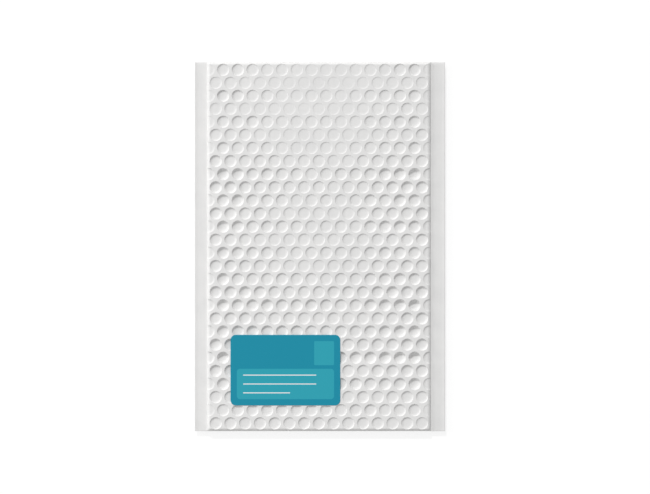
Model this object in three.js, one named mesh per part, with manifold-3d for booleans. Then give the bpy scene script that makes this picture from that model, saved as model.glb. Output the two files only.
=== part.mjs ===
// A bubble-lined courier bag, closed and lying on its back, with a label stuck on its front.
// Millimetres, +Z up. The origin is under the middle of the bag, on the surface that it lies on.
// X runs across the bag, and Y from its bottom fold to its top fold.

import * as THREE from "three";
import { ConvexGeometry } from "three/addons/geometries/ConvexGeometry.js";
import { mergeGeometries, mergeVertices } from "three/addons/utils/BufferGeometryUtils.js";
import Module from "manifold-3d";

// Bag: one film web, folded at the bottom and heat-sealed along both sides
const BAG_WIDTH = 240;
const BAG_HEIGHT = 354;
const PAD_THICKNESS = 8; // two bubble sheets lying on each other
const SEAL_LEFT = 12; // width of the flat side seals
const SEAL_RIGHT = 14;
const SEAL_THICKNESS = 0.8;
const FOLD_FACETS = 3; // flats in each quarter of the padding's round edge

// Dimples in the front, in rows shifted by half a pitch
const DIMPLE_PITCH = 14.1; // along a row
const ROW_PITCH = 12.55;
const FIRST_ROW = 7.3; // from the top fold to the middle of the first row
const ROW_MARGIN = 1; // least film between a whole dimple and the edge of the padding
const DIMPLE_RIM = 11.9; // diameter at the front face
const DIMPLE_FLOOR = 9; // diameter of the flat floor
const DIMPLE_DEPTH = 1.4;
const RIM_SIDES = 8;
const FLOOR_SIDES = 4;

// Closing flap, folded over the top and glued down, pressed flush into the soft back
const FLAP_LENGTH = 48; // from the end of the top fold to the free edge
const FLAP_INSET = 12; // from the flat back's sides to the flap's sides, at the fold
const FLAP_TAPER = 9; // how much nearer the middle each side is at the free edge
const FLAP_STEP = 0.6; // height of the flap's free edge over the film beside it
const FLAP_SLOPE = 9; // width of the film that slopes back to the flat

// Label, stuck on the front
const LABEL_WIDTH = 105;
const LABEL_HEIGHT = 67.5;
const LABEL_RADIUS = 5;
const LABEL_THICKNESS = 0.3;
const LABEL_LEFT = 22.5; // from the padding's left edge
const LABEL_BOTTOM = 25; // from the bottom fold
const CORNER_FACETS = 6;

// Places that follow from the sizes above
const bagLeft = -BAG_WIDTH / 2;
const bagTop = BAG_HEIGHT / 2;
const padWidth = BAG_WIDTH - SEAL_LEFT - SEAL_RIGHT;
const padLeft = bagLeft + SEAL_LEFT;
const padMiddle = padLeft + padWidth / 2;
const foldRadius = (PAD_THICKNESS - SEAL_THICKNESS) / 2;
const sealBottom = foldRadius;
const flatWidth = padWidth - 2 * foldRadius;
const flatHeight = BAG_HEIGHT - 2 * foldRadius;

const wasm = await Module();
wasm.setup();

// A closed geometry as a solid that can be joined and cut.
function solidOf(geometry) {
  const bare = geometry.index ? geometry.toNonIndexed() : geometry.clone();
  bare.deleteAttribute("normal");
  bare.deleteAttribute("uv");
  const merged = mergeVertices(bare);
  const vertProperties = merged.getAttribute("position").array;
  const triVerts = new Uint32Array(merged.index.array);
  return new wasm.Manifold(new wasm.Mesh({ numProp: 3, vertProperties, triVerts }));
}

// A solid as a flat-shaded geometry.
function geometryOf(solid) {
  const { vertProperties, triVerts } = solid.getMesh();
  const indexed = new THREE.BufferGeometry();
  indexed.setAttribute("position", new THREE.BufferAttribute(vertProperties, 3));
  indexed.setIndex(new THREE.BufferAttribute(triVerts, 1));
  const faceted = indexed.toNonIndexed();
  faceted.computeVertexNormals();
  return faceted;
}

// A rectangle centred on (x, y), as an outline.
function rectangle(x, y, width, height) {
  const outline = new THREE.Shape();
  outline.moveTo(x - width / 2, y - height / 2);
  outline.lineTo(x + width / 2, y - height / 2);
  outline.lineTo(x + width / 2, y + height / 2);
  outline.lineTo(x - width / 2, y + height / 2);
  outline.closePath();
  return outline;
}

// Points of a regular polygon of the same area as a circle, with a side facing +X.
function roundPolygon(diameter, sides, z) {
  const step = (2 * Math.PI) / sides;
  const corner = (diameter / 2) * Math.sqrt(step / Math.sin(step));
  return Array.from({ length: sides }, (_, i) => {
    const angle = (i + 0.5) * step;
    return new THREE.Vector3(corner * Math.cos(angle), corner * Math.sin(angle), z);
  });
}

// The bubble-lined middle of the bag, with a round fold on all four edges.
function padding() {
  const outline = rectangle(padMiddle, 0, flatWidth, flatHeight);
  const slab = new THREE.ExtrudeGeometry(outline, {
    depth: SEAL_THICKNESS,
    bevelThickness: foldRadius,
    bevelSize: foldRadius,
    bevelSegments: FOLD_FACETS,
  });
  return solidOf(slab.translate(0, 0, sealBottom));
}

// Both side seals, as one thin sheet through the middle of the padding.
function seals() {
  const sheet = new THREE.BoxGeometry(BAG_WIDTH, BAG_HEIGHT, SEAL_THICKNESS);
  return solidOf(sheet.translate(0, 0, sealBottom + SEAL_THICKNESS / 2));
}

// Middles of the dimples. Long rows hold whole dimples only, and the rows between them
// start and end with one that the side seal cuts off.
function dimplePlaces() {
  const clear = DIMPLE_RIM / 2 + ROW_MARGIN;
  const rows = Math.floor((BAG_HEIGHT - FIRST_ROW - clear) / ROW_PITCH) + 1;
  const whole = Math.floor((padWidth - 2 * clear) / DIMPLE_PITCH) + 1;
  const places = [];
  for (let row = 0; row < rows; row++) {
    const count = row % 2 ? whole : whole + 1;
    const y = bagTop - FIRST_ROW - row * ROW_PITCH;
    for (let i = 0; i < count; i++) {
      places.push([padMiddle + (i - (count - 1) / 2) * DIMPLE_PITCH, y]);
    }
  }
  return places;
}

// What the dimples take out of the front.
function dimples() {
  const one = new ConvexGeometry([
    ...roundPolygon(DIMPLE_RIM, RIM_SIDES, PAD_THICKNESS),
    ...roundPolygon(DIMPLE_FLOOR, FLOOR_SIDES, PAD_THICKNESS - DIMPLE_DEPTH),
  ]);
  return solidOf(mergeGeometries(dimplePlaces().map(([x, y]) => one.clone().translate(x, y, 0))));
}

// The flap's outline, grown by a margin on its three free sides.
function flapCorners(margin) {
  const top = flatHeight / 2;
  const bottom = top - FLAP_LENGTH - margin;
  const halfTop = flatWidth / 2 - FLAP_INSET + margin;
  const halfBottom = halfTop - FLAP_TAPER;
  return [
    [padMiddle - halfTop, top],
    [padMiddle - halfBottom, bottom],
    [padMiddle + halfBottom, bottom],
    [padMiddle + halfTop, top],
  ];
}

// The shallow hollow that the flap lies in, which gets deeper from the fold to the free edge.
function flapHollow() {
  const at = (z) => ([x, y]) => new THREE.Vector3(x, y, z);
  const mouth = flapCorners(FLAP_SLOPE).map(at(0));
  const freeEdge = flapCorners(0).slice(1, 3).map(at(FLAP_STEP));
  return solidOf(new ConvexGeometry([...mouth, ...freeEdge]));
}

// The flap itself, joined to the film that it is glued to.
function flap() {
  const outline = new THREE.Shape(flapCorners(0).map(([x, y]) => new THREE.Vector2(x, y)));
  const glued = FLAP_STEP + SEAL_THICKNESS;
  return solidOf(new THREE.ExtrudeGeometry(outline, { depth: glued, bevelEnabled: false }));
}

function bagGeometry() {
  const body = padding().add(seals());
  return geometryOf(body.subtract(dimples()).subtract(flapHollow()).add(flap()));
}

// The label's rounded rectangle, lying on the film between the dimples.
function labelGeometry() {
  const left = padLeft + LABEL_LEFT;
  const bottom = -BAG_HEIGHT / 2 + LABEL_BOTTOM;
  const right = left + LABEL_WIDTH;
  const top = bottom + LABEL_HEIGHT;
  const r = LABEL_RADIUS;
  const outline = new THREE.Shape();
  outline.absarc(right - r, bottom + r, r, -Math.PI / 2, 0);
  outline.absarc(right - r, top - r, r, 0, Math.PI / 2);
  outline.absarc(left + r, top - r, r, Math.PI / 2, Math.PI);
  outline.absarc(left + r, bottom + r, r, Math.PI, 1.5 * Math.PI);
  outline.closePath();
  const sheet = new THREE.ExtrudeGeometry(outline, {
    depth: LABEL_THICKNESS,
    bevelEnabled: false,
    curveSegments: CORNER_FACETS,
  });
  return sheet.translate(0, 0, PAD_THICKNESS);
}

const whiteFilm = new THREE.MeshStandardMaterial({ color: 0xe6e5e4, roughness: 0.45, metalness: 0 });
const tealLabel = new THREE.MeshStandardMaterial({ color: 0x2e8ea6, roughness: 0.4, metalness: 0 });

const bag = new THREE.Mesh(bagGeometry(), whiteFilm);
bag.name = "bag";

const label = new THREE.Mesh(labelGeometry(), tealLabel);
label.name = "label";

const courierBag = new THREE.Group();
courierBag.add(bag, label);

export default courierBag;
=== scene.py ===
"""A bubble-lined courier bag: dimpled film, sealed sides, a closing flap and an address label.

Metres, +Z up. The bag lies on its back. X runs across it, and Y from its bottom fold to its top.
"""

import math

import bmesh
import bpy
from bpy.props import FloatProperty, FloatVectorProperty, IntProperty, PointerProperty
from bpy.types import Operator, Panel, PropertyGroup
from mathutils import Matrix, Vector, noise


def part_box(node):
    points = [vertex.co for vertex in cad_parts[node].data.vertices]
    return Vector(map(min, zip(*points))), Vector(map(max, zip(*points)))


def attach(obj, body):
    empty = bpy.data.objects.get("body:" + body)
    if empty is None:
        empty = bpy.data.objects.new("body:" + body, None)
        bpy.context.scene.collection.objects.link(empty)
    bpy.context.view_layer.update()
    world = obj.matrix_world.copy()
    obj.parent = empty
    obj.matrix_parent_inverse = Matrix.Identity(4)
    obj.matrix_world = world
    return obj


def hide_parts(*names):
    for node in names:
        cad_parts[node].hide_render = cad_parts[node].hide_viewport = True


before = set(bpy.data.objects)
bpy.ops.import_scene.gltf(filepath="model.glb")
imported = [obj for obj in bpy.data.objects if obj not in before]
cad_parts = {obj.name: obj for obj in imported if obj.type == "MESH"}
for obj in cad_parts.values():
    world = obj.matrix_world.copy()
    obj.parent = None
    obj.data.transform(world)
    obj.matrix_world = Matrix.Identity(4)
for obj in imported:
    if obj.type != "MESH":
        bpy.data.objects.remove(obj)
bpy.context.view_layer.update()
bag_low, bag_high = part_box("bag")
label_low, label_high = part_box("label")

bl_info = {
    "name": "Bubble-Lined Courier Bag",
    "version": (1, 0, 0),
    "blender": (4, 5, 0),
    "location": "3D View > Sidebar > Courier Bag",
    "description": "Makes the film, the flap and the label of a closed bubble-lined courier bag",
    "category": "Add Mesh",
}

BODY = "root"
SNAP = 2e-5  # points closer than this are one point

# The dimple's cell: points on its hexagonal border and rings inside it
SIDE_STEPS = 2  # along each side that runs up the bag
SLANT_STEPS = 3  # along each of the other four sides
RINGS = (1.0, 0.93, 0.82, 0.5)  # shares of the dimple's radius, from its creased rim inwards

# How deep the dimples are, as shares of the depth of those that are pressed in most
TOP_DEPTH = 0.38  # in the first row
FULL_ROWS = 0.47  # share of the rows over which the depth grows to the full one
CENTRE_DEPTH = (0.32, 0.55)  # in the middle of the upper rows, and of the lower ones
CENTRE_ROWS = (0.4, 0.86)  # shares of the rows between which the middle goes from one to the other
SIDE_SPAN = (0.16, 1.18)  # shares of the half width between which the depth grows to the sides'
LAST_DEPTH = 0.34  # in the last rows
LAST_ROWS = (5, 2)  # rows before the end between which the depth changes to that
EDGE_SPAN = (0.9, 1.0)  # shares of the half width between which the dimples fade
EDGE_DEPTH = 0.2  # share of the depth that is left at the padding's edge
PROFILE_DEPTH = (0.22, 0.9)  # a shallow dimple and a deep one
PROFILE_POWER = (14.0, 6.0)  # how flat the floor of each of those two is

# Steps of the round edges
FOLD_STEPS = 6
SEAL_SHARES = (0.03, 0.35, 0.66, 0.97, 1.0)  # columns of a seal, from the padding outwards
CORNER_STEPS = 7
EDGE_BEND = 0.3  # how far in the middle of a rounded edge lies, as a share of its rounding

# Waves of the seals
WAVE_ACROSS = 0.02  # length across the bag
WAVE_ALONG = 0.045  # length along the bag
WAVE_SEED = 3.0

# The flap: its grid, and how it presses the back in
FLAP_START = 0.35  # share of the top fold's turn at which the flap leaves it
FLAP_ROWS = 10
FLAP_COLUMNS = 24
FOLD_PRESS = 0.5  # share of its step that the flap has at the fold
SHARP = math.radians(40)  # edges that bend more than this stay crisp


def length(label, about, default):
    """A size in metres that a user may change."""
    return FloatProperty(
        name=label, description=about, default=default, min=0, unit="LENGTH", precision=5
    )


def share(label, about, default):
    """A part of a whole that a user may change."""
    return FloatProperty(
        name=label, description=about, default=default, min=0, max=1, subtype="FACTOR"
    )


def tint(label, about, default):
    """A colour that a user may change."""
    return FloatVectorProperty(
        name=label, description=about, default=default, min=0, max=1, size=3, subtype="COLOR"
    )


class BagSizes(PropertyGroup):
    """Sizes of the padded bag."""

    seal_left: length("Left seal", "Width of the flat seal at the left", 0.012)
    seal_right: length("Right seal", "Width of the flat seal at the right", 0.014)
    seal_thickness: length("Seal thickness", "Thickness of the sealed sides", 0.0008)
    seal_top: share("Seal top", "Share of the seal's thickness that is left at the top fold", 0.25)
    seal_curl: length("Seal curl", "How far the seals' outer edges curl up", 0.00012)
    seal_wave: length("Seal wave", "How far the seals bend out of their plane", 0.00035)
    edge_round: length("Edge rounding", "How far the film's outer edge is rounded", 0.00025)
    fold_side: length("Side fold", "Width of the padding's round edge beside a seal", 0.0032)
    fold_end: length("End fold", "Width of the padding's round edge at top and bottom", 0.0029)
    pitch: length("Pitch", "From one dimple to the next along a row", 0.0141)
    row_pitch: length("Row pitch", "From one row to the next", 0.01255)
    first_row: length("First row", "From the top fold to the middle of the first row", 0.0073)
    row_margin: length("Row margin", "Least film beside a whole dimple", 0.001)
    row_sink: length("Row sink", "How far the first row is drawn down from the top fold", 0.0006)
    row_sink_span: length("Row sink span", "From the top fold to the last row drawn down", 0.07)
    rim: length("Dimple diameter", "Diameter of a dimple at the face", 0.0119)
    deep: length("Dimple depth", "Depth of the dimples that are pressed in most", 0.0028)
    swell: length("Swell", "Height of the slow waves in the film", 0.00015)
    swell_span: length("Swell span", "Length of the slow waves in the film", 0.03)
    row_turn: share("Row turn", "How much deeper every other row is, and shallower the rest", 0.09)
    row_spread: share("Row spread", "How much the rows differ in depth at random", 0.33)
    dimple_spread: share("Dimple spread", "How much the dimples of a row differ in depth", 0.2)
    seed_front: IntProperty(name="Front seed", description="Seed of the front's depths", default=4)
    seed_back: IntProperty(name="Back seed", description="Seed of the back's depths", default=9)


class FlapSizes(PropertyGroup):
    """Sizes of the closing flap."""

    reach: length("Length", "From the end of the top fold to the free edge", 0.048)
    inset: length("Inset", "From the flat back's sides to the flap's sides", 0.012)
    taper: length("Taper", "How much nearer the middle each side is at the free edge", 0.009)
    corner: length("Corner radius", "Radius of the free edge's corners", 0.006)
    thickness: length("Thickness", "Thickness of the flap with its glue", 0.0003)
    step: length("Step", "How far the free edge presses the back in", 0.0006)
    slope: length("Slope", "Width of the film that slopes back to the flat", 0.009)


class LabelSizes(PropertyGroup):
    """Sizes of the address label."""

    corner: length("Corner radius", "Radius of the label's corners", 0.005)
    edge_round: length("Edge rounding", "How far the label's upper edge is rounded", 0.00012)


class Finishes(PropertyGroup):
    """Colours of the film and the label."""

    film: tint("Film", "Colour of the white film", (0.82, 0.815, 0.808))
    film_shade: tint("Film shade", "Colour of the film's thicker clouds", (0.775, 0.772, 0.768))
    ground: tint("Label ground", "Deep teal of the label", (0.007, 0.263, 0.38))
    field: tint("Label fields", "Lighter teal of the label's fields", (0.025, 0.36, 0.454))
    rule: tint("Label rules", "White of the label's rules", (0.86, 0.88, 0.88))


class StageLook(PropertyGroup):
    """Light and camera."""

    key: FloatProperty(name="Key light", description="Strength of the key light", default=1.83)
    key_angle: FloatProperty(
        name="Key size",
        description="Angle that the key light covers",
        default=math.radians(4),
        subtype="ANGLE",
    )
    fill: FloatProperty(name="Fill light", description="Light from all sides", default=0.455)
    side: FloatProperty(
        name="Side light", description="Power of the soft light at the left", default=16.4
    )
    lens: FloatProperty(name="Lens", description="Focal length in millimetres", default=100)


class Value:
    """A node's output that takes part in sums, each of which adds a Math node."""

    def __init__(self, graph, socket):
        self.graph = graph
        self.socket = socket

    def __add__(self, other):
        return self.graph.math("ADD", self, other)

    __radd__ = __add__

    def __sub__(self, other):
        return self.graph.math("SUBTRACT", self, other)

    def __rsub__(self, other):
        return self.graph.math("SUBTRACT", other, self)

    def __mul__(self, other):
        return self.graph.math("MULTIPLY", self, other)

    __rmul__ = __mul__

    def __truediv__(self, other):
        return self.graph.math("DIVIDE", self, other)

    def __pow__(self, other):
        return self.graph.math("POWER", self, other)

    def __abs__(self):
        return self.graph.math("ABSOLUTE", self)

    def __lt__(self, other):
        return self.graph.math("LESS_THAN", self, other)

    def __gt__(self, other):
        return self.graph.math("GREATER_THAN", self, other)


class Graph:
    """A node tree that is being built."""

    def __init__(self, tree):
        self.tree = tree
        tree.nodes.clear()

    def pick(self, sockets, key):
        """The socket in use that has this name or number, or the first one in use."""
        if isinstance(key, int):
            return sockets[key]
        return next(s for s in sockets if s.enabled and key in (None, s.name))

    def node(self, kind, settings=None, sockets=None, output=None):
        """A new node's output, or the node where it has none. Settings are set before sockets."""
        made = self.tree.nodes.new(kind)
        for name, value in (settings or {}).items():
            setattr(made, name, value)
        for key, value in (sockets or {}).items():
            socket = self.pick(made.inputs, key)
            if isinstance(value, Value):
                self.tree.links.new(value.socket, socket)
            else:
                socket.default_value = value
        return Value(self, self.pick(made.outputs, output)) if made.outputs else made

    def math(self, operation, first, second=0.0):
        return self.node("ShaderNodeMath", {"operation": operation}, {0: first, 1: second})

    def ramp(self, value, start, end, low=0.0, high=1.0, smooth=False):
        """low where value is at start and high where it is at end, and held beyond both."""
        kind = "SMOOTHSTEP" if smooth else "LINEAR"
        sockets = {
            "Value": value,
            "From Min": start,
            "From Max": end,
            "To Min": low,
            "To Max": high,
        }
        return self.node("ShaderNodeMapRange", {"interpolation_type": kind}, sockets)

    def mix(self, first, second, part):
        """A sum of two values, with this share of the first."""
        return first * part + second * (1 - part)

    def split(self, vector):
        """The three parts of a vector."""
        parts = self.node("ShaderNodeSeparateXYZ", sockets={"Vector": vector}, output="X")
        node = parts.socket.node
        return [Value(self, node.outputs[axis]) for axis in "XYZ"]

    def ask(self, name, kind="NodeSocketFloat"):
        """A named input of a geometry tree."""
        item = self.tree.interface.new_socket(name, in_out="INPUT", socket_type=kind)
        return self.node("NodeGroupInput", output=item.name)

    def noise(self, place, scale, detail=2.0, roughness=0.5):
        sockets = {"Vector": place, "Scale": scale, "Detail": detail, "Roughness": roughness}
        return self.node("ShaderNodeTexNoise", sockets=sockets, output="Fac")

    def blend(self, factor, first, second):
        """A colour between two colours."""
        sockets = {"Factor": factor, "A": first, "B": second}
        return self.node("ShaderNodeMix", {"data_type": "RGBA"}, sockets, "Result")

    def bump(self, height, strength, distance):
        """Normals that a pattern of heights bends."""
        sockets = {"Strength": strength, "Distance": distance, "Height": height}
        return self.node("ShaderNodeBump", sockets=sockets)


def solid(colour):
    """A colour with its alpha."""
    return (*colour, 1.0)


def surface(name):
    """A new material and its node graph."""
    material = bpy.data.materials.new(name)
    material.use_nodes = True
    return material, Graph(material.node_tree)


def finish(graph, sockets):
    """Ends a material in one shader."""
    shader = graph.node("ShaderNodeBsdfPrincipled", sockets=sockets)
    graph.node("ShaderNodeOutputMaterial", sockets={"Surface": shader})


# Both finishes
SHEEN = 0.25  # how strongly film and label mirror, where 0.5 is plain plastic
NOISE_RANGE = (0.3, 0.7)  # most of a noise pattern lies between these

# The film's patterns, in waves for each metre, and their shares in its shade, relief and gloss
FILM_CLOUDS = 65.0
CLOUD_DETAIL = 3.0
CLOUD_ROUGHNESS = 0.55
FILM_LINES = 420.0
LINE_STRETCH = (1.0, 0.04, 1.0)  # draws the lines out along the web
FILM_GRAIN = 1500.0
SHADE_CLOUDS = 0.7  # the lines have the rest
SHADE_RANGE = (0.35, 0.68)
RELIEF_GRAIN = 0.6  # the lines have the rest
RELIEF_STRENGTH = 0.25
RELIEF_HEIGHT = 0.00012
GLOSS_CLOUDS = 0.5  # the grain has the rest
FILM_ROUGHNESS = (0.52, 0.64)


def film_material(finishes):
    """Satin white film: faint clouds, lines along the web and a fine grain."""
    material, graph = surface("white_film")
    place = graph.node("ShaderNodeTexCoord", output="Object")
    stretched = graph.node("ShaderNodeMapping", sockets={"Vector": place, "Scale": LINE_STRETCH})
    clouds = graph.noise(place, FILM_CLOUDS, CLOUD_DETAIL, CLOUD_ROUGHNESS)
    lines = graph.noise(stretched, FILM_LINES)
    grain = graph.noise(place, FILM_GRAIN)
    shade = graph.ramp(graph.mix(clouds, lines, SHADE_CLOUDS), *SHADE_RANGE)
    relief = graph.mix(grain, lines, RELIEF_GRAIN)
    gloss = graph.mix(clouds, grain, GLOSS_CLOUDS)
    sockets = {
        "Base Color": graph.blend(shade, solid(finishes.film), solid(finishes.film_shade)),
        "Roughness": graph.ramp(gloss, *NOISE_RANGE, *FILM_ROUGHNESS),
        "Specular IOR Level": SHEEN,
        "Normal": graph.bump(relief, RELIEF_STRENGTH, RELIEF_HEIGHT),
    }
    finish(graph, sockets)
    return material


def round_fold(distance, radius):
    """Height of a quarter-round edge, from 0 at the edge to 1 at its radius and beyond."""
    if distance < SNAP:
        return 0
    short = max(1 - distance / radius, 0)
    return math.sqrt(1 - short * short)


def ease(value, start, end):
    """0 at start and 1 at end, smooth at both."""
    t = min(max((value - start) / (end - start), 0), 1)
    return t * t * (3 - 2 * t)


class BagPlan:
    """Places on the bag that follow from its sizes."""

    def __init__(self, scene):
        sizes = scene.courier_bag
        self.sizes = sizes
        self.flap = scene.courier_flap
        self.left = bag_low.x + sizes.seal_left
        self.right = bag_high.x - sizes.seal_right
        self.middle = (self.left + self.right) / 2
        self.half_width = (self.right - self.left) / 2
        self.top = bag_high.y - sizes.edge_round
        self.bottom = bag_low.y + sizes.edge_round
        self.level = (bag_low.z + bag_high.z) / 2
        self.half_seal = sizes.seal_thickness / 2
        self.rise = (bag_high.z - bag_low.z) / 2 - self.half_seal
        clear = sizes.rim / 2 + sizes.row_margin
        height = bag_high.y - bag_low.y
        self.rows = math.floor((height - sizes.first_row - clear) / sizes.row_pitch) + 1
        self.whole = math.floor((2 * self.half_width - 2 * clear) / sizes.pitch) + 1
        self.flat_top = bag_high.y - self.rise

    def fold(self, x, y):
        """Share of the padding's rise over the seal's plane."""
        side = round_fold(min(x - self.left, self.right - x), self.sizes.fold_side)
        end = round_fold(min(y - self.bottom, self.top - y), self.sizes.fold_end)
        return side * end

    def half_seal_at(self, y):
        """Half of the seal's thickness at a height on the bag, less at the top fold."""
        left = self.sizes.seal_top
        return self.half_seal * (left + (1 - left) * round_fold(self.top - y, self.sizes.fold_end))

    def swell(self, x, y, seed):
        """How far the film sinks in its slow waves."""
        span = self.sizes.swell_span
        place = Vector((x / span, y / span, seed))
        return self.sizes.swell * (1 + noise.noise(place)) / 2

    def flap_half_width(self, y):
        """Half of the flap's width at a height on the bag."""
        flap = self.flap
        along = min(max((self.flat_top - y) / flap.reach, 0), 1)
        return self.half_width - self.rise - flap.inset - flap.taper * along

    def flap_press(self, x, y):
        """How far the flap presses the back in."""
        flap = self.flap
        along = ease(self.flat_top + self.rise / 2 - y, 0, flap.reach)
        beyond = max(self.flat_top - flap.reach - y, 0)
        beside = max(abs(x - self.middle) - self.flap_half_width(y), 0)
        away = math.hypot(beyond, beside)
        return flap.step * (FOLD_PRESS + (1 - FOLD_PRESS) * along) * ease(away, flap.slope, 0)


def ring_faces(rings, count):
    """Four-sided faces between rings of points, each of which joins the next."""
    faces = []
    for i in range(rings - 1):
        here = i * count
        there = here + count
        for k in range(count):
            after = (k + 1) % count
            faces.append([here + k, here + after, there + after, there + k])
    return faces


def cell_mesh(sizes):
    """One flat cell of the lattice, with each point's distance from the middle as reach."""
    half = sizes.pitch / 2
    side = (sizes.row_pitch**2 - half**2) / (2 * sizes.row_pitch)
    peak = sizes.row_pitch - side
    corners = [(half, -side), (half, side), (0, peak), (-half, side), (-half, -side), (0, -peak)]
    steps = [SIDE_STEPS, SLANT_STEPS, SLANT_STEPS] * 2
    border = []
    for i, count in enumerate(steps):
        start = Vector(corners[i])
        end = Vector(corners[(i + 1) % len(corners)])
        border += [start.lerp(end, k / count) for k in range(count)]
    turn = 2 * math.pi / len(border)
    rings = [border]
    for ring in RINGS:
        radius = ring * sizes.rim / 2
        angles = [(k - SIDE_STEPS / 2) * turn for k in range(len(border))]
        rings.append([Vector((radius * math.cos(a), radius * math.sin(a))) for a in angles])
    points = [point for ring in rings for point in ring]
    count = len(border)
    faces = ring_faces(len(rings), count)
    faces.append(list(range(len(points) - count, len(points))))
    mesh = bpy.data.meshes.new("dimple_cell")
    mesh.from_pydata([(p.x, p.y, 0) for p in points], [], faces)
    rim = range(count, 2 * count)
    crease = mesh.attributes.new("sharp_edge", "BOOLEAN", "EDGE")
    crease.data.foreach_set("value", [all(v in rim for v in e.vertices) for e in mesh.edges])
    reach = mesh.attributes.new("reach", "FLOAT", "POINT")
    reach.data.foreach_set("value", [p.length / (sizes.rim / 2) for p in points])
    return mesh


def lattice_tree():
    """Nodes that lay a cell on each place of the staggered rows and press its dimple in."""
    graph = Graph(bpy.data.node_groups.new("Dimple lattice", "GeometryNodeTree"))
    cell = graph.ask("Cell", "NodeSocketObject")
    film = graph.ask("Film", "NodeSocketMaterial")
    whole = graph.ask("Whole dimples", "NodeSocketInt")
    rows = graph.ask("Rows", "NodeSocketInt")
    pitch = graph.ask("Pitch")
    row_pitch = graph.ask("Row pitch")
    middle = graph.ask("Middle")
    first_row = graph.ask("First row")
    half_width = graph.ask("Half width")
    deep = graph.ask("Deep")
    row_turn = graph.ask("Row turn")
    row_spread = graph.ask("Row spread")
    dimple_spread = graph.ask("Dimple spread")
    seed = graph.ask("Seed", "NodeSocketInt")

    # One column more at each side, and one flat row more at each end, to fill the face
    grid = graph.node(
        "GeometryNodeMeshGrid",
        sockets={
            "Size X": (whole + 1) * pitch,
            "Size Y": (rows + 1) * row_pitch,
            "Vertices X": whole + 2,
            "Vertices Y": rows + 2,
        },
        output="Mesh",
    )
    x, y, _ = graph.split(graph.node("GeometryNodeInputPosition"))
    row = graph.math("ROUND", (rows + 1) / 2 - y / row_pitch) - 1
    even = 1 - graph.math("FLOORED_MODULO", row, 2)
    across = x + even * pitch / 2

    # The depth grows from the top rows down and from the middle to the sides, but for the last rows
    out = abs(across) / half_width
    along = graph.ramp(row, 0, rows * FULL_ROWS, TOP_DEPTH, 1.0, smooth=True)
    centre = graph.ramp(row, rows * CENTRE_ROWS[0], rows * CENTRE_ROWS[1], *CENTRE_DEPTH)
    last = graph.ramp(row, rows - LAST_ROWS[0], rows - LAST_ROWS[1])
    aside = graph.ramp(out, *SIDE_SPAN, centre, 1.0, smooth=True) * (1 - last) + LAST_DEPTH * last
    fade = graph.ramp(out, *EDGE_SPAN, 1.0, EDGE_DEPTH)
    filled = (row > -0.5) * (row < rows - 0.5)

    def scatter(identity, offset):
        sockets = {"Min": -1.0, "Max": 1.0, "ID": identity, "Seed": seed + offset}
        return graph.node("FunctionNodeRandomValue", {"data_type": "FLOAT"}, sockets)

    by_row = 1 + row_turn * (2 * even - 1) + row_spread * scatter(row, 0)
    by_dimple = 1 + dimple_spread * scatter(graph.node("GeometryNodeInputIndex"), 1)
    depth = deep * along * aside * fade * filled * by_row * by_dimple
    number = {"data_type": "FLOAT", "domain": "POINT"}
    marked = graph.node(
        "GeometryNodeStoreNamedAttribute",
        number,
        {"Geometry": grid, "Name": "depth", "Value": depth},
    )
    spot = graph.node(
        "ShaderNodeCombineXYZ", sockets={"X": across + middle, "Y": first_row - row * row_pitch}
    )
    placed = graph.node("GeometryNodeSetPosition", sockets={"Geometry": marked, "Position": spot})
    shape = graph.node("GeometryNodeObjectInfo", sockets={"Object": cell}, output="Geometry")
    cells = graph.node(
        "GeometryNodeInstanceOnPoints", sockets={"Points": placed, "Instance": shape}
    )
    flat = graph.node("GeometryNodeRealizeInstances", sockets={"Geometry": cells})

    # Shallow dimples have a flat floor, and deep ones are bowls
    kind = {"data_type": "FLOAT"}
    reach = graph.node("GeometryNodeInputNamedAttribute", kind, {"Name": "reach"}, "Attribute")
    own = graph.node("GeometryNodeInputNamedAttribute", kind, {"Name": "depth"}, "Attribute")
    power = graph.ramp(own / deep, *PROFILE_DEPTH, *PROFILE_POWER)
    press = own * (1 - graph.math("MINIMUM", reach, 1.0) ** power)
    offset = graph.node("ShaderNodeCombineXYZ", sockets={"Z": 0 - press})
    pressed = graph.node("GeometryNodeSetPosition", sockets={"Geometry": flat, "Offset": offset})
    joined = graph.node(
        "GeometryNodeMergeByDistance", sockets={"Geometry": pressed, "Distance": SNAP}
    )
    filmed = graph.node("GeometryNodeSetMaterial", sockets={"Geometry": joined, "Material": film})
    graph.tree.interface.new_socket("Geometry", in_out="OUTPUT", socket_type="NodeSocketGeometry")
    graph.node("NodeGroupOutput", sockets={"Geometry": filmed})
    return graph.tree


def lattice_mesh(plan, film, seed):
    """The dimpled film as a flat sheet that is larger than the padding."""
    sizes = plan.sizes
    cell = bpy.data.objects.new("dimple_cell", cell_mesh(sizes))
    carrier = bpy.data.objects.new("lattice", bpy.data.meshes.new("lattice"))
    for helper in (cell, carrier):
        bpy.context.scene.collection.objects.link(helper)
    tree = lattice_tree()
    modifier = carrier.modifiers.new("Dimple lattice", "NODES")
    modifier.node_group = tree
    values = {
        "Cell": cell,
        "Film": film,
        "Whole dimples": plan.whole,
        "Rows": plan.rows,
        "Pitch": sizes.pitch,
        "Row pitch": sizes.row_pitch,
        "Middle": plan.middle,
        "First row": bag_high.y - sizes.first_row,
        "Half width": plan.half_width,
        "Deep": sizes.deep,
        "Row turn": sizes.row_turn,
        "Row spread": sizes.row_spread,
        "Dimple spread": sizes.dimple_spread,
        "Seed": seed,
    }
    for item in tree.interface.items_tree:
        if item.in_out == "INPUT":
            modifier[item.identifier] = values[item.name]
    evaluated = carrier.evaluated_get(bpy.context.evaluated_depsgraph_get())
    mesh = bpy.data.meshes.new_from_object(evaluated)
    for helper in (carrier, cell):
        bpy.data.objects.remove(helper)
    return mesh


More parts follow.
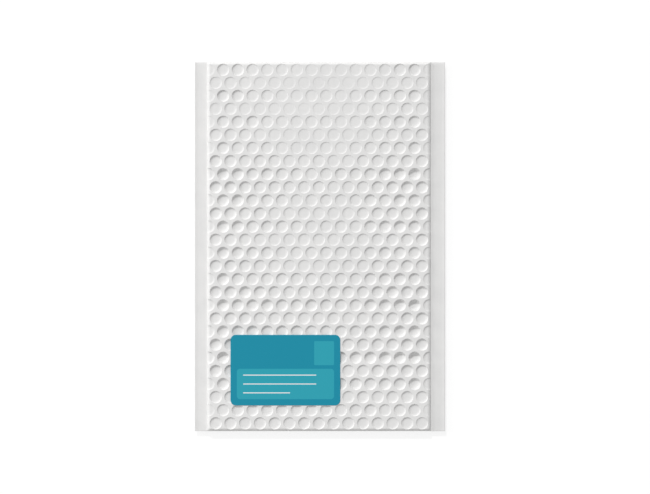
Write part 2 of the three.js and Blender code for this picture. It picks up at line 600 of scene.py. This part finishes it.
def cut(sheet, place, away, drop=False):
    """Cuts a sheet along an upright plane, and drops what lies beyond it if asked to."""
    everything = sheet.verts[:] + sheet.edges[:] + sheet.faces[:]
    bmesh.ops.bisect_plane(
        sheet, geom=everything, dist=SNAP, plane_co=place, plane_no=away, clear_outer=drop
    )


def extrude_edges(sheet, edges, move):
    """Draws a strip out of a row of edges, moves its new points, and returns its new edges."""
    made = bmesh.ops.extrude_edge_only(sheet, edges=edges)["geom"]
    points = {item for item in made if isinstance(item, bmesh.types.BMVert)}
    for point in points:
        point.co = move(point.co)
    drawn = [item for item in made if isinstance(item, bmesh.types.BMEdge)]
    return [edge for edge in drawn if points.issuperset(edge.verts)]


def draw_seal(sheet, start, end):
    """Draws a flat seal out of the padding's side."""
    border = [e for e in sheet.edges if e.is_boundary]
    edges = [e for e in border if all(abs(v.co.x - start) < SNAP for v in e.verts)]
    for done in SEAL_SHARES:
        x = start + (end - start) * done
        edges = extrude_edges(sheet, edges, lambda co, x=x: Vector((x, co.y, co.z)))


def face_sheet(plan, film, seed, press):
    """One face of the bag over its middle plane: the padding between its two seals."""
    sizes = plan.sizes
    sheet = bmesh.new()
    sheet.from_mesh(lattice_mesh(plan, film, seed))
    for point in sheet.verts:
        point.co.y -= sizes.row_sink * ease(point.co.y, plan.top - sizes.row_sink_span, plan.top)
    borders = [
        (Vector((plan.left, 0, 0)), Vector((-1, 0, 0)), sizes.fold_side),
        (Vector((plan.right, 0, 0)), Vector((1, 0, 0)), sizes.fold_side),
        (Vector((0, plan.bottom, 0)), Vector((0, -1, 0)), sizes.fold_end),
        (Vector((0, plan.top, 0)), Vector((0, 1, 0)), sizes.fold_end),
    ]
    for place, away, _ in borders:
        cut(sheet, place, away, drop=True)
    for place, away, width in borders:
        for i in range(1, FOLD_STEPS + 1):
            inward = width * (1 - math.cos(math.pi / 2 * i / FOLD_STEPS))
            cut(sheet, place - away * inward, away)
    for point in sheet.verts:
        x, y, z = point.co
        height = plan.rise - plan.swell(x, y, seed) - press(x, y) + z
        point.co.z = plan.half_seal + height * plan.fold(x, y)
    draw_seal(sheet, plan.left, bag_low.x + sizes.edge_round)
    draw_seal(sheet, plan.right, bag_high.x - sizes.edge_round)
    for point in sheet.verts:
        if point.co.z <= plan.half_seal + SNAP:
            point.co.z = plan.half_seal_at(point.co.y)
    return sheet


def close_edge(bag, plan):
    """Joins the front's border to the back's by a rounded edge."""
    edge = plan.sizes.edge_round
    half = Vector((bag_high.x - edge, bag_high.y - edge))
    grow = Vector((bag_high.x / half.x, bag_high.y / half.y))
    border = [e for e in bag.edges if e.is_boundary and e.verts[0].co.z > 0]
    border = extrude_edges(bag, border, lambda co: Vector((co.x * grow.x, co.y * grow.y, 0)))

    def to_back(co):
        x, y = co.x / grow.x, co.y / grow.y
        return Vector((x, y, -plan.half_seal_at(y)))

    extrude_edges(bag, border, to_back)
    open_points = [v for v in bag.verts if v.is_boundary]
    bmesh.ops.remove_doubles(bag, verts=open_points, dist=SNAP)


def bag_mesh(plan, film):
    """The whole bag as one closed shell."""
    sizes = plan.sizes
    bag = bmesh.new()
    front = face_sheet(plan, film, sizes.seed_front, lambda x, y: 0)
    back = face_sheet(plan, film, sizes.seed_back, plan.flap_press)
    for point in back.verts:
        point.co.z = -point.co.z
    bmesh.ops.reverse_faces(back, faces=back.faces)
    for sheet in (front, back):
        part = bpy.data.meshes.new("face")
        sheet.to_mesh(part)
        sheet.free()
        bag.from_mesh(part)
        bpy.data.meshes.remove(part)
    close_edge(bag, plan)
    for point in bag.verts:
        x, y, z = point.co
        out = max(plan.left - x, x - plan.right, 0) / sizes.seal_left
        wave = sizes.seal_wave * noise.noise(Vector((x / WAVE_ACROSS, y / WAVE_ALONG, WAVE_SEED)))
        outermost = min(x - bag_low.x, bag_high.x - x) < sizes.edge_round + SNAP
        curl = sizes.seal_curl if outermost else 0
        point.co.z = plan.level + z + wave * out + curl
    bmesh.ops.recalc_face_normals(bag, faces=bag.faces)
    mesh = bpy.data.meshes.new("padded_bag")
    bag.to_mesh(mesh)
    bag.free()
    mesh.shade_smooth()
    for name in ("depth", "reach"):
        if name in mesh.attributes:
            mesh.attributes.remove(mesh.attributes[name])
    mesh.materials.clear()
    mesh.materials.append(film)
    return mesh


def add_piece(name, mesh, node=None):
    """Puts a piece into the scene, on the body that carries it."""
    piece = bpy.data.objects.new(name, mesh)
    bpy.context.scene.collection.objects.link(piece)
    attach(piece, BODY)
    if node:
        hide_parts(node)
    return piece


class COURIER_OT_padded_bag(Operator):
    """Make the padded bag with its dimples, folds and seals"""

    bl_idname = "courier.padded_bag"
    bl_label = "Padded Bag"

    def execute(self, context):
        plan = BagPlan(context.scene)
        film = film_material(context.scene.courier_finishes)
        bag = add_piece("padded_bag", bag_mesh(plan, film), "bag")
        return {"FINISHED"}


def flap_rows(plan):
    """Rows across the flap, as places along the bag and how far the corners draw them in."""
    flap = plan.flap
    fold = plan.sizes.fold_end
    rows = []
    for i in range(FOLD_STEPS + 1):
        turn = math.pi / 2 * (FLAP_START + (1 - FLAP_START) * i / FOLD_STEPS)
        rows.append((plan.top - fold * (1 - math.cos(turn)), 0))
    corner = plan.flat_top - flap.reach + flap.corner
    for i in range(1, FLAP_ROWS + 1):
        rows.append((plan.top - fold + (corner - plan.top + fold) * i / FLAP_ROWS, 0))
    for i in range(1, CORNER_STEPS + 1):
        turn = math.pi / 2 * i / CORNER_STEPS
        rows.append((corner - flap.corner * math.sin(turn), flap.corner * (1 - math.cos(turn))))
    return rows


def flap_mesh(plan):
    """The closing flap, from the top fold to its free edge."""
    rows = flap_rows(plan)
    sheet = bmesh.new()
    lines = []
    for y, drawn_in in rows:
        half = plan.flap_half_width(y) - drawn_in
        z = plan.level - plan.half_seal - plan.rise * round_fold(plan.top - y, plan.sizes.fold_end)
        xs = [plan.middle + half * (2 * k / FLAP_COLUMNS - 1) for k in range(FLAP_COLUMNS + 1)]
        lines.append([sheet.verts.new((x, y, z)) for x in xs])
    for upper, lower in zip(lines, lines[1:]):
        for k in range(FLAP_COLUMNS):
            sheet.faces.new((upper[k], upper[k + 1], lower[k + 1], lower[k]))
    sheet.normal_update()
    bmesh.ops.solidify(sheet, geom=sheet.faces[:], thickness=plan.flap.thickness)
    bmesh.ops.recalc_face_normals(sheet, faces=sheet.faces)
    mesh = bpy.data.meshes.new("closing_flap")
    sheet.to_mesh(mesh)
    sheet.free()
    mesh.shade_smooth()
    mesh.set_sharp_from_angle(angle=SHARP)
    return mesh


class COURIER_OT_closing_flap(Operator):
    """Make the closing flap that is glued to the back"""

    bl_idname = "courier.closing_flap"
    bl_label = "Closing Flap"

    def execute(self, context):
        plan = BagPlan(context.scene)
        mesh = flap_mesh(plan)
        mesh.materials.append(bpy.data.materials["white_film"])
        add_piece("closing_flap", mesh)
        return {"FINISHED"}


# The label's print
PRINT_MARGIN = 0.006  # from the label's edge to its fields, and from there to the rules
PRINT_SOFT = 0.00008  # half of the width over which a printed edge fades
STAMP_HALF = (0.0095, 0.0115)  # half of the stamp field's width and height
STAMP_RADIUS = 0.001
ADDRESS_HALF = 0.0145  # half of the address field's height
ADDRESS_RADIUS = 0.003
RULE_LENGTHS = (0.07, 0.07, 0.045)  # from the upper rule to the lower one
RULE_HALF = 0.00045  # half of a rule's width
RULE_RADIUS = 0.0004
RULE_PITCH = 0.0085

# The label's patterns, in waves for each metre, and their shares in its gloss
LABEL_CLOUDS = 45.0
LABEL_GRAIN = 1300.0
LABEL_GLOSS_CLOUDS = 0.6  # the grain has the rest
LABEL_ROUGHNESS = (0.36, 0.48)
LABEL_STRENGTH = 0.15
LABEL_RELIEF = 0.00008


def rounded_field(graph, x, y, centre, half, radius):
    """1 inside a rounded rectangle of the label and 0 outside it."""
    dx = graph.math("MAXIMUM", abs(x - centre[0]) - (half[0] - radius), 0.0)
    dy = graph.math("MAXIMUM", abs(y - centre[1]) - (half[1] - radius), 0.0)
    distance = (dx * dx + dy * dy) ** 0.5
    return graph.ramp(distance, radius + PRINT_SOFT, radius - PRINT_SOFT)


def label_material(finishes):
    """A teal label: lighter fields for a stamp and an address, and white rules to write on."""
    material, graph = surface("label_print")
    place = graph.node("ShaderNodeTexCoord", output="Object")
    x, y, _ = graph.split(place)
    left, bottom = label_low.x, label_low.y
    right, top = label_high.x, label_high.y
    margin = PRINT_MARGIN
    stamp_middle = (right - margin - STAMP_HALF[0], top - margin - STAMP_HALF[1])
    stamp = rounded_field(graph, x, y, stamp_middle, STAMP_HALF, STAMP_RADIUS)
    address_half = ((right - left) / 2 - margin, ADDRESS_HALF)
    address_middle = ((left + right) / 2, bottom + margin + ADDRESS_HALF)
    address = rounded_field(graph, x, y, address_middle, address_half, ADDRESS_RADIUS)
    fields = graph.math("MAXIMUM", stamp, address)
    rules = 0.0
    for i, reach in enumerate(RULE_LENGTHS):
        half = (reach / 2, RULE_HALF)
        centre = (left + 2 * margin + half[0], address_middle[1] + (1 - i) * RULE_PITCH)
        rule = rounded_field(graph, x, y, centre, half, RULE_RADIUS)
        rules = graph.math("MAXIMUM", rules, rule)
    clouds = graph.noise(place, LABEL_CLOUDS)
    grain = graph.noise(place, LABEL_GRAIN)
    gloss = graph.mix(clouds, grain, LABEL_GLOSS_CLOUDS)
    ground = graph.blend(fields, solid(finishes.ground), solid(finishes.field))
    sockets = {
        "Base Color": graph.blend(rules, ground, solid(finishes.rule)),
        "Roughness": graph.ramp(gloss, *NOISE_RANGE, *LABEL_ROUGHNESS),
        "Specular IOR Level": SHEEN,
        "Normal": graph.bump(grain, LABEL_STRENGTH, LABEL_RELIEF),
    }
    finish(graph, sockets)
    return material


def label_mesh(sizes):
    """A thin rounded sheet with a soft upper edge."""
    soft = sizes.edge_round
    bend = soft * EDGE_BEND
    levels = [
        (0, label_low.z),
        (0, label_high.z - soft),
        (bend, label_high.z - bend),
        (soft, label_high.z),
    ]
    corners = [
        (label_high.x, label_low.y, -90),
        (label_high.x, label_high.y, 0),
        (label_low.x, label_high.y, 90),
        (label_low.x, label_low.y, 180),
    ]
    points = []
    for inset, z in levels:
        radius = sizes.corner - inset
        for x, y, angle in corners:
            middle_x = x - math.copysign(sizes.corner, x - (label_low.x + label_high.x) / 2)
            middle_y = y - math.copysign(sizes.corner, y - (label_low.y + label_high.y) / 2)
            for k in range(CORNER_STEPS + 1):
                turn = math.radians(angle + 90 * k / CORNER_STEPS)
                x_at = middle_x + radius * math.cos(turn)
                y_at = middle_y + radius * math.sin(turn)
                points.append((x_at, y_at, z))
    count = len(points) // len(levels)
    underside = list(range(count))[::-1]
    upper_side = list(range(len(points) - count, len(points)))
    faces = [underside, upper_side, *ring_faces(len(levels), count)]
    mesh = bpy.data.meshes.new("address_label")
    mesh.from_pydata(points, [], faces)
    return mesh


class COURIER_OT_address_label(Operator):
    """Make the label on the front"""

    bl_idname = "courier.address_label"
    bl_label = "Address Label"

    def execute(self, context):
        mesh = label_mesh(context.scene.courier_label)
        mesh.materials.append(label_material(context.scene.courier_finishes))
        add_piece("address_label", mesh, "label")
        return {"FINISHED"}


# Where the bag is in the picture, in its points
PICTURE = Vector((650, 494))
BAG_ACROSS = 250.2  # width of the bag
BAG_CENTRE = Vector((319.92, 246.55))

# Light and floor
KEY_FROM = Vector((-0.23, 0.73, 0.56))  # direction of the key light as seen from the bag
SIDE_FROM = Vector((-1.95, 0.5, 0.85))  # place of the soft light at the left
SIDE_SIZE = 1.0
WHITE = (1, 1, 1, 1)
FLOOR_HALF = 4.0
FLOOR_GREY = (0.95, 0.95, 0.95, 1)
FLOOR_GLOW = 0.75  # share of plain white in the floor that is seen
GLOW_STRENGTH = 1.07  # makes up for the shaded rest of the floor


def seen_directly(graph):
    """1 for rays from the camera and for those that gloss or clear film sends on."""
    kinds = ["Is Camera Ray", "Is Glossy Ray", "Is Transmission Ray"]
    rays = [graph.node("ShaderNodeLightPath", output=kind) for kind in kinds]
    return graph.math("MINIMUM", rays[0] + rays[1] + rays[2], 1.0)


def floor_material():
    """A pale floor that keeps shadows."""
    material, graph = surface("pale_floor")
    matt = graph.node("ShaderNodeBsdfDiffuse", sockets={"Color": FLOOR_GREY})
    glow = graph.node("ShaderNodeEmission", sockets={"Color": WHITE, "Strength": GLOW_STRENGTH})
    mixed = graph.node(
        "ShaderNodeMixShader", sockets={0: seen_directly(graph) * FLOOR_GLOW, 1: matt, 2: glow}
    )
    graph.node("ShaderNodeOutputMaterial", sockets={"Surface": mixed})
    return material


class COURIER_OT_stage(Operator):
    """Make the floor, the light and the camera"""

    bl_idname = "courier.stage"
    bl_label = "Stage"

    def execute(self, context):
        scene = context.scene
        look = scene.courier_stage
        scene.view_settings.view_transform = "Standard"

        mesh = bpy.data.meshes.new("floor")
        half = FLOOR_HALF
        corners = [(-half, -half, 0), (half, -half, 0), (half, half, 0), (-half, half, 0)]
        mesh.from_pydata(corners, [], [(0, 1, 2, 3)])
        mesh.materials.append(floor_material())
        floor = bpy.data.objects.new("floor", mesh)
        scene.collection.objects.link(floor)

        sun = bpy.data.lights.new("key", "SUN")
        sun.energy = look.key
        sun.angle = look.key_angle
        key = bpy.data.objects.new("key", sun)
        key.rotation_euler = KEY_FROM.to_track_quat("Z", "Y").to_euler()
        scene.collection.objects.link(key)

        softbox = bpy.data.lights.new("side", "AREA")
        softbox.energy = look.side
        softbox.size = SIDE_SIZE
        side = bpy.data.objects.new("side", softbox)
        side.location = SIDE_FROM
        side.rotation_euler = SIDE_FROM.to_track_quat("Z", "Y").to_euler()
        scene.collection.objects.link(side)

        world = bpy.data.worlds.new("studio")
        world.use_nodes = True
        graph = Graph(world.node_tree)
        fill = graph.node("ShaderNodeBackground", sockets={"Color": WHITE, "Strength": look.fill})
        seen = graph.node("ShaderNodeBackground", sockets={"Color": WHITE, "Strength": 1.0})
        mixed = graph.node(
            "ShaderNodeMixShader", sockets={0: seen_directly(graph), 1: fill, 2: seen}
        )
        graph.node("ShaderNodeOutputWorld", sockets={"Surface": mixed})
        scene.world = world

        lens = bpy.data.cameras.new("camera")
        lens.lens = look.lens
        camera = bpy.data.objects.new("camera", lens)
        per_point = (bag_high.x - bag_low.x) / BAG_ACROSS
        aim = (PICTURE / 2 - BAG_CENTRE) * per_point
        distance = PICTURE.x * per_point * lens.lens / lens.sensor_width
        middle = (bag_low.z + bag_high.z) / 2
        camera.location = (aim.x, -aim.y, middle + distance)
        scene.collection.objects.link(camera)
        scene.camera = camera
        return {"FINISHED"}


class COURIER_PT_bag(Panel):
    """Lists the bag's pieces and sizes"""

    bl_idname = "COURIER_PT_bag"
    bl_label = "Courier Bag"
    bl_space_type = "VIEW_3D"
    bl_region_type = "UI"
    bl_category = "Courier Bag"

    def draw(self, context):
        layout = self.layout
        for maker in MAKERS:
            layout.operator(maker.bl_idname)
        for name in GROUPS:
            box = layout.box()
            group = getattr(context.scene, name)
            for prop in group.bl_rna.properties:
                if prop.identifier not in ("rna_type", "name"):
                    box.prop(group, prop.identifier)


GROUPS = {
    "courier_bag": BagSizes,
    "courier_flap": FlapSizes,
    "courier_label": LabelSizes,
    "courier_finishes": Finishes,
    "courier_stage": StageLook,
}
MAKERS = (
    COURIER_OT_padded_bag,
    COURIER_OT_closing_flap,
    COURIER_OT_address_label,
    COURIER_OT_stage,
)


def register():
    for cls in (*GROUPS.values(), *MAKERS, COURIER_PT_bag):
        bpy.utils.register_class(cls)
    for name, group in GROUPS.items():
        setattr(bpy.types.Scene, name, PointerProperty(type=group))


def unregister():
    for name in GROUPS:
        delattr(bpy.types.Scene, name)
    for cls in (COURIER_PT_bag, *reversed(MAKERS), *reversed(GROUPS.values())):
        bpy.utils.unregister_class(cls)


def main():
    register()
    bpy.ops.courier.padded_bag()
    bpy.ops.courier.closing_flap()
    bpy.ops.courier.address_label()
    bpy.ops.courier.stage()


if __name__ == "__main__":
    main()
